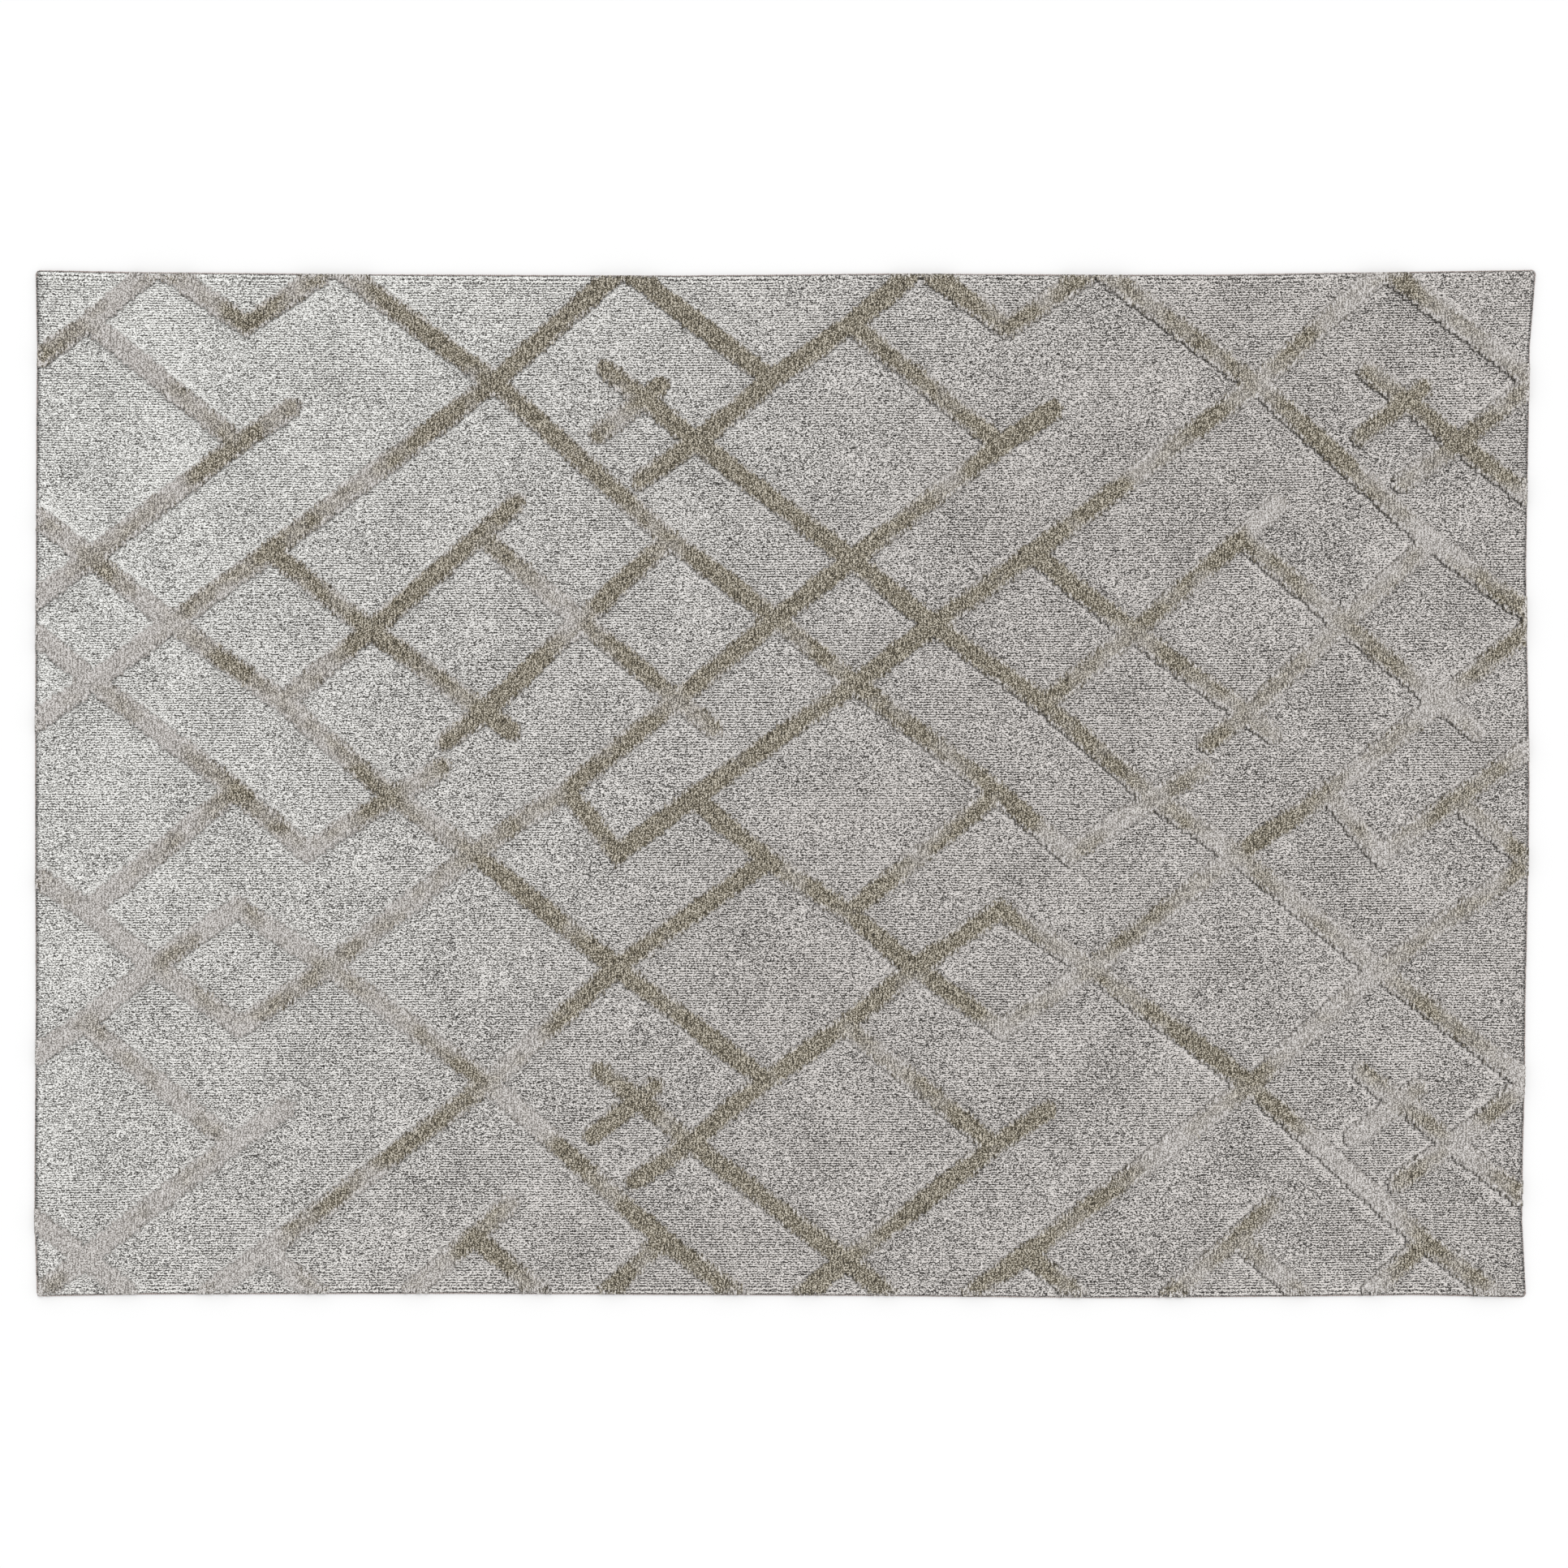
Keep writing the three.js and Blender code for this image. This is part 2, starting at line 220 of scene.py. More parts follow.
# ---- Materials ----
class Nodes:
    """A material's node tree, built link by link."""

    def __init__(self, name, roughness, sheen, sheen_tint=(1, 1, 1, 1)):
        self.material = bpy.data.materials.new(name)
        self.material.use_nodes = True
        self.tree = self.material.node_tree
        self.shader = self.tree.nodes["Principled BSDF"]
        self.shader.inputs["Roughness"].default_value = roughness
        self.shader.inputs["Sheen Weight"].default_value = sheen
        self.shader.inputs["Sheen Roughness"].default_value = 0.6
        self.shader.inputs["Sheen Tint"].default_value = sheen_tint
        self.shader.inputs["Specular IOR Level"].default_value = 0.2
        self.place = self.add("ShaderNodeTexCoord").outputs["Object"]

    def add(self, kind, **settings):
        node = self.tree.nodes.new(kind)
        for key, value in settings.items():
            setattr(node, key, value)
        return node

    def feed(self, socket, value):
        if isinstance(value, bpy.types.NodeSocket):
            self.tree.links.new(value, socket)
        else:
            socket.default_value = value

    def values(self, name):
        return self.add("ShaderNodeAttribute", attribute_name=name).outputs["Fac"]

    def scaled(self, scale):
        node = self.add("ShaderNodeMapping")
        self.feed(node.inputs["Vector"], self.place)
        node.inputs["Scale"].default_value = scale
        return node.outputs["Vector"]

    def noise(self, scale, detail=2.0, rough=0.5, vector=None):
        node = self.add("ShaderNodeTexNoise")
        self.feed(node.inputs["Vector"], self.place if vector is None else vector)
        node.inputs["Scale"].default_value = scale
        node.inputs["Detail"].default_value = detail
        node.inputs["Roughness"].default_value = rough
        return node.outputs["Fac"]

    def math(self, operation, a, b=0.0, c=0.0, clamp=False):
        node = self.add("ShaderNodeMath", operation=operation, use_clamp=clamp)
        for socket, value in zip(node.inputs, (a, b, c)):
            self.feed(socket, value)
        return node.outputs[0]

    def spread(self, value, low, high, to_low=0.0, to_high=1.0):
        node = self.add("ShaderNodeMapRange")
        for key, v in (("Value", value), ("From Min", low), ("From Max", high),
                       ("To Min", to_low), ("To Max", to_high)):
            self.feed(node.inputs[key], v)
        return node.outputs[0]

    def ramp(self, value, *stops):
        node = self.add("ShaderNodeValToRGB")
        while len(node.color_ramp.elements) < len(stops):
            node.color_ramp.elements.new(0.5)
        for element, (position, colour) in zip(node.color_ramp.elements, stops):
            element.position, element.color = position, (*colour, 1)
        self.feed(node.inputs["Fac"], value)
        return node.outputs["Color"]

    def mix(self, share, a, b, blend="MIX"):
        node = self.add("ShaderNodeMix", data_type="RGBA", blend_type=blend)
        self.feed(node.inputs[0], share)
        self.feed(node.inputs[6], a if isinstance(a, bpy.types.NodeSocket) else (*a, 1))
        self.feed(node.inputs[7], b if isinstance(b, bpy.types.NodeSocket) else (*b, 1))
        return node.outputs[2]

    def colour(self, value):
        self.feed(self.shader.inputs["Base Color"], value)

    def bump(self, height, distance, strength=1.0):
        node = self.add("ShaderNodeBump")
        node.inputs["Distance"].default_value = distance
        node.inputs["Strength"].default_value = strength
        self.feed(node.inputs["Height"], height)
        self.feed(self.shader.inputs["Normal"], node.outputs["Normal"])

    def region(self, left, right):
        """From 0 at the back left of the rug to 1 at its front right, in soft clouds. It changes
        between the places left and right on the middle line, in metres."""
        slant, cloud_depth = 0.5, 0.7
        split = self.add("ShaderNodeSeparateXYZ")
        self.feed(split.inputs[0], self.place)
        cloud = self.math("MULTIPLY_ADD", self.noise(2.2, 3.0), cloud_depth, -cloud_depth / 2)
        place = self.math("MULTIPLY_ADD", split.outputs["Y"], -slant, split.outputs["X"])
        return self.spread(self.math("ADD", place, cloud), left, right)


def ground_material():
    m = Nodes("ground_yarn", 0.95, 0.1)
    fibres = m.noise(1.0, 1.0, 0.5, m.scaled((430, 640, 430)))
    # Rows of loops: straight where the weave is calm, and wandering into short worms elsewhere.
    stray = m.math("SUBTRACT", m.noise(1.0, 2.0, 0.6, m.scaled((110, 190, 110))), 0.5)
    reach = m.spread(m.values("calm"), 0.25, 0.85, to_low=3.6, to_high=0.5)
    turns = m.math("MULTIPLY_ADD", stray, reach, m.values("turns"))
    wave = m.math("COSINE", m.math("MULTIPLY", turns, 2 * math.pi))
    tone = m.math("MULTIPLY_ADD", m.math("SUBTRACT", fibres, 0.5), 4.4, m.values("loop"))
    tone = m.math("MULTIPLY_ADD", wave, 0.3, tone)
    clouds = m.math("MULTIPLY_ADD", m.noise(9.0, 2.0, 0.6), 0.5, -0.25)
    tone = m.math("ADD", tone, clouds)
    darker_warmer = m.region(-1.15, 0.15)
    # Towards the back left the ground's contrast is lower and its gaps paler, and towards the front
    # right its colour is darker and warmer.
    contrast = m.spread(darker_warmer, 0.0, 0.7, to_low=0.7, to_high=1.0)
    middle = m.spread(darker_warmer, 0.0, 0.7, to_low=0.525, to_high=0.485)
    tone = m.math("MULTIPLY", m.math("SUBTRACT", tone, 0.5), contrast)
    tone = m.math("ADD", tone, middle)
    colour = m.ramp(tone, (0.0, (0.03, 0.028, 0.026)), (0.28, (0.15, 0.146, 0.138)),
                    (0.58, (0.46, 0.455, 0.44)), (1.0, (0.86, 0.855, 0.84)))
    tint = m.mix(darker_warmer, (0.945, 0.95, 0.94), (0.735, 0.705, 0.69))
    m.colour(m.mix(1.0, colour, tint, "MULTIPLY"))
    m.bump(tone, 0.5 * MM, 0.5)
    return m.material


def pile_material():
    m = Nodes("pile_yarn", 0.85, 0.15, (0.95, 0.9, 0.82, 1))
    tufts = m.noise(1.0, 1.0, 0.5, m.scaled((480, 480, 480)))
    strokes = m.noise(1.0, 1.0, 0.5, m.scaled((400, 110, 400)))
    # The tuft value holds the pile's tone, with painted shade down its sides and at its feet, and a
    # painted highlight on rims that face the light.
    tone = m.math("MULTIPLY_ADD", m.math("SUBTRACT", tufts, 0.5), 3.6, m.values("tuft"))
    tone = m.math("MULTIPLY_ADD", m.math("SUBTRACT", strokes, 0.5), 1.4, tone)
    # The nap lies flat in pale patches and stands up in dark olive ones, with flecks at its rims.
    patches = m.math("ADD", m.noise(6.5, 4.0, 0.6), m.values("nap"))
    fleck = m.spread(strokes, 0.35, 0.65, to_low=-0.07, to_high=0.34)
    flecks = m.math("MULTIPLY", m.values("rim"), fleck)
    lying = m.spread(m.math("ADD", patches, flecks), 0.42, 0.60)
    dark = m.ramp(tone, (0.0, (0.022, 0.018, 0.012)), (0.45, (0.119, 0.101, 0.067)),
                  (1.0, (0.52, 0.48, 0.405)))
    pale = m.ramp(tone, (0.0, (0.14, 0.13, 0.12)), (0.45, (0.365, 0.342, 0.323)),
                  (1.0, (0.60, 0.58, 0.565)))
    # Painted shadow: where the gap value is high, at the feet on the side away from the light, the
    # colour goes to near black.
    gap = m.spread(m.values("gap"), 0.15, 0.7)
    shadow = (0.026, 0.022, 0.017)
    m.colour(m.mix(gap, m.mix(lying, dark, pale), shadow))
    m.bump(tone, 0.5 * MM, 0.5)
    return m.material


def foundation_material():
    m = Nodes("foundation_yarn", 0.9, 0.1)
    warp = m.add("ShaderNodeTexWave", bands_direction="X")
    weft = m.add("ShaderNodeTexWave", bands_direction="Y")
    for threads in (warp, weft):
        m.feed(threads.inputs["Vector"], m.place)
        threads.inputs["Scale"].default_value = 90
        threads.inputs["Distortion"].default_value = 1.5
    weave = m.math("MAXIMUM", warp.outputs["Fac"], weft.outputs["Fac"])
    fibres = m.noise(700, 3.0)
    tone = m.math("MULTIPLY_ADD", fibres, 0.5, m.math("MULTIPLY", weave, 0.6))
    m.colour(m.ramp(tone, (0.2, (0.24, 0.17, 0.09)), (0.8, (0.58, 0.47, 0.30))))
    m.bump(tone, 0.5 * MM, 0.8)
    return m.material


def latex_material():
    m = Nodes("latex", 0.7, 0.0)
    rows = m.values("row")
    smears = m.noise(1.0, 4.0, 0.6, m.scaled((9, 40, 9)))
    threads = m.noise(1.0, 2.0, 0.5, m.scaled((230, 260, 230)))
    tone = m.math("MULTIPLY_ADD", threads, 0.45, m.math("MULTIPLY", rows, 0.35))
    tone = m.math("MULTIPLY_ADD", smears, 0.4, tone)
    m.colour(m.ramp(tone, (0.3, (0.42, 0.36, 0.26)), (0.55, (0.60, 0.55, 0.45)),
                    (0.85, (0.74, 0.70, 0.62))))
    m.bump(tone, 0.4 * MM, 0.7)
    return m.material


def binding_material():
    m = Nodes("binding_yarn", 0.8, 0.25)
    fibres = m.noise(1400, 3.0)
    runs = m.noise(14, 3.0, 0.6)
    tone = m.math("MULTIPLY_ADD", fibres, 0.35, m.math("MULTIPLY", m.values("wrap"), 0.45))
    tone = m.math("MULTIPLY_ADD", runs, 0.4, tone)
    m.colour(m.ramp(tone, (0.25, (0.08, 0.058, 0.05)), (0.5, (0.22, 0.18, 0.165)),
                    (0.8, (0.40, 0.35, 0.325))))
    m.bump(tone, 0.3 * MM, 0.7)
    return m.material


def cord_material():
    m = Nodes("filler_cord", 0.9, 0.2)
    fibres = m.noise(1100, 3.0)
    tone = m.math("MULTIPLY_ADD", fibres, 0.5, m.math("MULTIPLY", m.values("ply"), 0.5))
    m.colour(m.ramp(tone, (0.2, (0.40, 0.35, 0.26)), (0.8, (0.70, 0.65, 0.55))))
    m.bump(tone, 0.3 * MM, 0.6)
    return m.material


def floor_material():
    m = Nodes("studio_floor", 0.9, 0.0)
    m.colour((0.75, 0.75, 0.75, 1))
    return m.material


# ---- The raised bands' plan, read from the CAD ----
def band_plan(names, x, y):
    """How far each point of a grid is inside the CAD bands' outline, negative outside, and no
    further than PLAN_REACH."""
    inside = np.zeros(x.shape, dtype=bool)
    distance = np.full(x.shape, PLAN_REACH)
    xs, ys = x[0], y[:, 0]

    def window(points, margin):
        """The rows and columns of the grid around some points."""
        (x0, y0), (x1, y1) = points.min(axis=0) - margin, points.max(axis=0) + margin
        i = slice(*np.searchsorted(xs, [x0, x1]))
        j = slice(*np.searchsorted(ys, [y0, y1]))
        return j, i

    for name in names:
        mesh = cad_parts[name].data
        verts = np.array([v.co for v in mesh.vertices])
        top = verts[:, 2].max() - 0.1 * MM
        edges = {}
        mesh.calc_loop_triangles()
        for triangle in mesh.loop_triangles:
            a, b, c = triangle.vertices
            if min(verts[a, 2], verts[b, 2], verts[c, 2]) < top:
                continue
            corners = verts[[a, b, c], :2]
            for one, two in ((0, 1), (1, 2), (2, 0)):
                ends = tuple(sorted((tuple(corners[one].round(6)), tuple(corners[two].round(6)))))
                edges[ends] = edges.get(ends, 0) + 1
            j, i = window(corners, 0)
            px, py = x[j, i], y[j, i]
            within = np.ones(px.shape, dtype=bool)
            (ax, ay), (bx, by), (cx, cy) = corners
            turn = np.sign((bx - ax) * (cy - ay) - (by - ay) * (cx - ax))
            for (ux, uy), (vx, vy) in zip(corners, np.roll(corners, -1, axis=0)):
                within &= turn * ((vx - ux) * (py - uy) - (vy - uy) * (px - ux)) >= 0
            inside[j, i] |= within
        # An edge that only one triangle uses is part of the outline.
        for (start, end), uses in edges.items():
            if uses > 1:
                continue
            start, end = np.array(start), np.array(end)
            j, i = window(np.stack([start, end]), PLAN_REACH)
            px, py = x[j, i] - start[0], y[j, i] - start[1]
            step = end - start
            share = np.clip((px * step[0] + py * step[1]) / max(step @ step, 1e-12), 0, 1)
            gap = np.hypot(px - share * step[0], py - share * step[1])
            distance[j, i] = np.minimum(distance[j, i], gap)
    return np.where(inside, distance, -distance)


# ---- Ground weave ----
def ground_grid():
    """Points of the ground's cloth, and how many lines its skirt has. The skirt goes in under the
    overlock's upper lip, and up past it."""
    skirt = np.array([0, 1.55, 1.7]) * MM  # its lines, inwards from the cloth's rim
    start = 1.9 * MM  # the first line of loops

    def lines(size, pitch):
        inner = np.linspace(start, size - start, int(round((size - 2 * start) / pitch)) + 1)
        return np.concatenate([skirt, inner, size - skirt[::-1]])

    along = lines(RUG_LENGTH - 2 * CLOTH_INSET, LOOP_PITCH)
    across = lines(RUG_WIDTH - 2 * CLOTH_INSET, ROW_PITCH / 2)
    x, y = laid_grid(CLOTH_INSET, along, across)
    return x, y, len(skirt)


def build_ground(material):
    """A cloth of loops in rows, whose outermost loops lie out over the overlock."""
    x, y, skirt = ground_grid()
    rows, columns = x.shape
    # Loops stand in rows. In calm patches the rows are clear, and elsewhere they break and bridge.
    mean_loop = 0.54
    crest = np.where(np.arange(rows) % 2 == 0, 1.0, -1.0)[:, None]
    calm = 0.5 + 0.5 * smooth_noise(x, y, (90 * MM, 50 * MM), CALM_SEED)
    wander = smooth_noise(x, y, (30 * MM, ROW_PITCH * 1.6), WANDER_SEED)
    yarn = rng.normal(0, 1, x.shape)
    loop = mean_loop + crest * (0.14 + 0.16 * calm) + yarn * (0.08 - 0.03 * calm) + 0.04 * wander
    loop = np.clip(loop, 0, 1)
    # Beside a raised band the loops are pressed down under its tufts. Within a few millimetres of
    # it their colour is painted paler, painted light that lifts the shade beside the band.
    pressed_width, painted_light_width = 2.0 * MM, 7.0 * MM
    beside = band_plan(PILE_NODES, np.broadcast_to(x[rows // 2], x.shape),
                       np.broadcast_to(y[:, columns // 2, None], y.shape))
    pressed = 0.2 * np.clip((beside + pressed_width) / pressed_width, 0, 1)
    painted_light_beside = 0.3 * np.clip(1 + beside / painted_light_width, 0, 1)

    # Within the skirt the cloth spreads out over the lip, and lies on it.
    middle = (slice(skirt, -skirt), slice(skirt, -skirt))
    x[middle], y[middle] = spilled(x[middle], y[middle])
    high = level("ground_weave", 1)
    top = high - LOOP_RELIEF + LOOP_RELIEF * (loop - pressed)
    lip = high - LIP_DEPTH
    over_lip = np.min(to_edges(x, y), axis=0) < FACE_INSET + 1.5 * MM
    top = np.where(over_lip, np.maximum(top, lip + 0.25 * MM), top)
    under_lip = level("ground_weave", 0) + 1.0 * MM
    for lines, height in ((skirt, lip), (skirt - 1, under_lip)):
        for edge in (top[:lines], top[-lines:], top[:, :lines], top[:, -lines:]):
            edge[:] = height
    x[middle] += rng.uniform(-0.9, 0.9, x[middle].shape) * MM
    y[middle] += (rng.uniform(-0.35, 0.35, x[middle].shape) + 0.5 * wander[middle]) * MM
    piece = closed_cloth("ground_weave_cloth", x, y, top, level("ground_weave", 0),
                         material)

    # The cloth's flat underside repeats its rim's vertices, so their values are given twice.
    ring = rim(rows, columns)
    turns = np.broadcast_to(np.arange(rows)[:, None] / 2, x.shape)
    # The loop value carries the loops' tone and the painted light beside the bands.
    shade = mean_loop + (loop - mean_loop) * 0.55 + painted_light_beside
    for value_name, values in (("loop", shade), ("turns", turns), ("calm", calm)):
        add_values(piece, value_name, np.concatenate([values.ravel(), values.ravel()[ring]]))
    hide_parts("ground_weave")
    return piece


# ---- Raised pile ----
def without_diagonals(filled):
    """Fills one cell wherever two tufts would meet at a corner only."""
    while True:
        a, b = filled[:-1, :-1], filled[:-1, 1:]
        c, d = filled[1:, :-1], filled[1:, 1:]
        rising, falling = ~a & b & c & ~d, a & ~b & ~c & d
        if not (rising.any() or falling.any()):
            return filled
        a |= rising
        b |= falling


def tuft_cells(nodes):
    """The grid over some of the CAD's bands, how far each of its points is inside their outline,
    and which of its steps hold pile. A tuft is two steps wide, so that a column of tufts has a
    crest and a valley."""
    lows, highs = zip(*(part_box(n) for n in nodes))
    low = np.min(np.array(lows), axis=0) - 3 * LOOP_PITCH
    high = np.max(np.array(highs), axis=0) + 3 * LOOP_PITCH
    cells_x = int((high[0] - low[0]) / LOOP_PITCH)
    cells_y = int((high[1] - low[1]) / ROW_PITCH)
    x, y = np.meshgrid(low[0] + np.arange(2 * cells_x + 1) * LOOP_PITCH / 2,
                       low[1] + np.arange(cells_y + 1) * ROW_PITCH)
    depth = band_plan(nodes, x, y)
    centre = (depth[:-1, 1::2] + depth[1:, 1::2]) / 2
    ragged = rng.uniform(-1.7, 1.7, centre.shape) * MM
    filled = without_diagonals(centre + ragged > 0.4 * MM)
    return x, y, depth, np.repeat(filled, 2, axis=1)


def cells_around(filled):
    """How many filled cells meet at each point of their grid."""
    around = np.zeros((filled.shape[0] + 1, filled.shape[1] + 1), dtype=int)
    for dj in (0, 1):
        for di in (0, 1):
            around[dj:filled.shape[0] + dj, di:filled.shape[1] + di] += filled
    return around


def pile_faces(filled, foot_id, belly_id, tip_id):
    """Quads over and under the filled cells, and walls round them, from foot to belly to tip."""
    def quads(ids):
        return np.stack([ids[:-1, :-1], ids[:-1, 1:], ids[1:, 1:], ids[1:, :-1]], -1)[filled]

    faces = [quads(tip_id), quads(foot_id)[:, ::-1]]
    padded = np.pad(filled, 1)
    here = padded[1:-1, 1:-1]
    low_low, low_high = np.s_[:-1, :-1], np.s_[:-1, 1:]
    high_low, high_high = np.s_[1:, :-1], np.s_[1:, 1:]
    for neighbour, first, second in (
            (padded[:-2, 1:-1], low_low, low_high), (padded[2:, 1:-1], high_high, high_low),
            (padded[1:-1, 2:], low_high, high_high), (padded[1:-1, :-2], high_low, low_low)):
        wall = here & ~neighbour
        for below, above in ((foot_id, belly_id), (belly_id, tip_id)):
            faces.append(np.stack([below[first][wall], below[second][wall],
                                   above[second][wall], above[first][wall]], -1))
    return faces


def tuft_points(x, y, depth, at_rim, out_x, out_y, top):
    """The tip, belly and foot of the pile at each point of its grid, and its tone. Tufts sway,
    splay outwards at the rim, and lie over with the nap."""
    crest = (np.arange(x.shape[1]) % 2 == 1)[None, :] * np.ones((len(x), 1))
    stroke = smooth_noise(x, y, (LOOP_PITCH * 0.5, 9 * MM), STROKE_SEED)
    tuft = rng.normal(0, 1, x.shape)
    tone = np.clip(0.36 + 0.18 * crest + 0.10 * stroke + 0.10 * tuft, 0, 1)
    valley, shoulder_drop, shoulder_width = 0.9 * MM, 2.0 * MM, 5.0 * MM
    shoulder = np.clip(1 - depth / shoulder_width, 0, 1) ** 1.5
    foot = level("ground_weave", 1) - FOOT_DEPTH
    z = top - 0.2 * MM - (1 - crest) * valley - shoulder_drop * shoulder
    z += (0.45 * stroke + 0.30 * tuft) * MM

    # Sideways moves, in millimetres.
    sway_x = 0.6 * smooth_noise(x, y, 50 * MM, SWAY_SEED) + rng.uniform(-0.45, 0.45, x.shape)
    sway_y = rng.uniform(-0.9, 0.9, x.shape)
    # Towards the right the nap lies over to the back right corner, past the feet on that side.
    right = np.clip(x / NAP_TURN, 0, 1)
    lean = 0.3 + 1.2 * right
    splay = np.where(at_rim, rng.uniform(-0.6, 1.0, x.shape) + 0.4 * crest, 0.0) * (1 - 0.4 * right)
    tips = np.stack([x + (sway_x + splay * out_x + lean) * MM,
                     y + (sway_y + splay * out_y + lean) * MM, z], -1)
    belly = np.where(at_rim, rng.uniform(0.0, 0.8, x.shape), 0.0)
    bellies = np.stack([x + (0.7 * sway_x + belly * out_x + 0.4 * lean) * MM,
                        y + (0.5 * sway_y + belly * out_y + 0.4 * lean) * MM,
                        foot + (z - foot) * 0.55], -1)
    drawn_in = 0.8 * MM * at_rim
    feet = np.stack([x - drawn_in * out_x, y - drawn_in * out_y, np.full(x.shape, foot)], -1)

    # Near the rug's edge the tufts lie out over the overlock, with their feet above its lip.
    for points in (tips, bellies):
        points[..., 0], points[..., 1] = spilled(points[..., 0], points[..., 1])
    over_lip = np.min(to_edges(x, y), axis=0) < FACE_INSET + 3 * MM
    bellies[..., 2] = np.where(over_lip, top - 3.0 * MM, bellies[..., 2])
    feet[..., 2] = np.where(over_lip, level("ground_weave", 1) - 0.8 * MM, foot)
    return tips, bellies, feet, tone


def build_pile(name, nodes, material):
    """Cut pile in columns of tufts, whose rims are as ragged as the tufts are wide."""
    x, y, depth, filled = tuft_cells(nodes)
    around = cells_around(filled)
    used = around > 0
    at_rim = used & (around < 4)
    # The way out of the band at each point. Facing is 1 where that is to the back right.
    grad_y, grad_x = np.gradient(depth, ROW_PITCH, LOOP_PITCH / 2)
    size = np.maximum(np.hypot(grad_x, grad_y), 1e-6)
    out_x, out_y = -grad_x / size, -grad_y / size
    facing = (out_x + out_y) / math.sqrt(2)
    tips, bellies, feet, tone = tuft_points(x, y, depth, at_rim, out_x, out_y, level(nodes[0], 1))

    count, rim_count = int(used.sum()), int(at_rim.sum())
    tip_id, foot_id, belly_id = (np.full(x.shape, -1) for _ in range(3))
    tip_id[used] = np.arange(count)
    foot_id[used] = np.arange(count) + count
    belly_id[at_rim] = np.arange(rim_count) + 2 * count
    verts = np.concatenate([tips[used], feet[used], bellies[at_rim]])
    faces = pile_faces(filled, foot_id, belly_id, tip_id)
    piece = new_mesh(name, verts, faces, material)

    def give(value_name, at_tips, at_feet, at_bellies):
        values = [at_tips[used], at_feet[used], at_bellies[at_rim]]
        add_values(piece, value_name, np.concatenate(values))

    # The pile's sides are painted darker than its tips, and its feet near black: painted shade down
    # the walls.
    # A rim that faces the light, at the back right, gets a painted highlight down its side. Towards
    # the right of the rug one that faces away gets deeper painted shade.
    right = np.clip(x / NAP_TURN, 0, 1)
    shaded = 0.5 * right * np.clip(-facing, 0, 1)
    lit = 0.35 * np.clip(facing, 0, 1)
    give("tuft", tone, np.full(x.shape, -0.9), tone - 0.4 - shaded + lit)
    # Where the nap lies away from the rim, its feet and their shadow are painted as a thin
    # near-black line: painted shadow.
    gap = right * np.clip(-1.6 * facing, 0, 1)
    give("gap", np.zeros(x.shape), gap, gap)
    # The nap is darkest along the rug's middle and palest towards its front left corner.
    nap = 0.235 * np.clip((-x - 0.2) / 0.9, 0, 1) + 0.13 * np.clip((x - 0.15) / 0.6, 0, 1)
    nap -= (0.02 + 0.05 * np.clip(-x / 0.6, 0, 1)) * y / 0.78 + 0.125
    give("nap", nap, nap, nap)
    rim_width = 8.0 * MM
    rim_share = np.clip(1 - depth / rim_width, 0, 1)
    give("rim", rim_share, rim_share, rim_share)
    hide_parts(*nodes)
    return piece


# ---- Backing and latex ----
def build_backing(material):
    """The plain-woven foundation."""
    columns, rows = 260, 176
    along = np.linspace(0, RUG_LENGTH - 2 * CLOTH_INSET, columns)
    across = np.linspace(0, RUG_WIDTH - 2 * CLOTH_INSET, rows)
    x, y = laid_grid(CLOTH_INSET, along, across)
    # Each crossing of the threads is either over or under its neighbours.
    over = (np.indices(x.shape).sum(axis=0) % 2) * 2 - 1
    low, high = level("backing_weave", 0), level("backing_weave", 1)
    top = high - (0.12 - 0.12 * over) * MM
    piece = closed_cloth("backing_cloth", x, y, top, low, material)
    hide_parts("backing_weave")
    return piece


def build_latex(material):
    """A coat brushed on lengthwise, through which the rows of the weave show as ridges."""
    columns, rows = 140, int((RUG_WIDTH - 2 * FACE_INSET) / (ROW_PITCH / 2))
    along = np.linspace(0, RUG_LENGTH - 2 * FACE_INSET, columns)
    across = np.linspace(0, RUG_WIDTH - 2 * FACE_INSET, rows)
    x, y = laid_grid(FACE_INSET, along, across)
    row = (np.arange(rows) % 2)[:, None] * np.ones_like(x)
    smear = smooth_noise(x, y, (120 * MM, 20 * MM), SMEAR_SEED)
    bottom = (0.24 - 0.20 * row + 0.03 * smear + 0.02 * rng.uniform(-1, 1, x.shape)) * MM
    bottom = np.clip(bottom, 0, None)
    piece = closed_cloth("latex_back", x, y, level("latex_coat", 1), bottom, material,
                         relief_below=True)
    add_values(piece, "row", np.concatenate([row.ravel(), np.full(len(rim(*x.shape)), 0.5)]))
    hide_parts("latex_coat")
    return piece


# ---- Edge ----
# The overlock's section as (distance inwards, level), in millimetres: round the outside from the
# lower lip to the upper one, then back inside.
SECTION_OUTSIDE = [(6.0, 0.25), (4.5, 0.1), (2.2, 0.06), (0.9, 0.12), (0.28, 0.45), (0.04, 1.2),
                   (0.0, 2.75), (0.04, 4.3), (0.28, 5.05), (0.9, 5.4), (2.2, 5.5), (4.5, 5.5),
                   (6.0, 5.3)]
SECTION_INSIDE = [(5.95, 4.66), (3.4, 4.6), (0.95, 4.6), (0.95, 2.75), (0.95, 0.9), (3.4, 0.9),
                  (5.95, 0.84)]


def sweep(name, path, inwards, section, values, value_name, material):
    """A closed section carried along a path, with a flat cap at both ends. The section, as
    distance inwards and level in metres, and its values for the material are given at each point
    of the path."""
    frames, points = section.shape[:2]
    place = path[:, None, :] + inwards[:, None, :] * section[:, :, :1]
    verts = np.concatenate([place, section[:, :, 1:]], -1).reshape(-1, 3)
    i = np.arange(frames * points).reshape(frames, points)
    j = np.roll(i, -1, axis=1)
    sides = np.stack([i[:-1], j[:-1], j[1:], i[1:]], -1).reshape(-1, 4)
    caps = np.stack([i[0][::-1], i[-1]])
    piece = new_mesh(name, verts, [sides, caps], material)
    add_values(piece, value_name, values)
    return piece


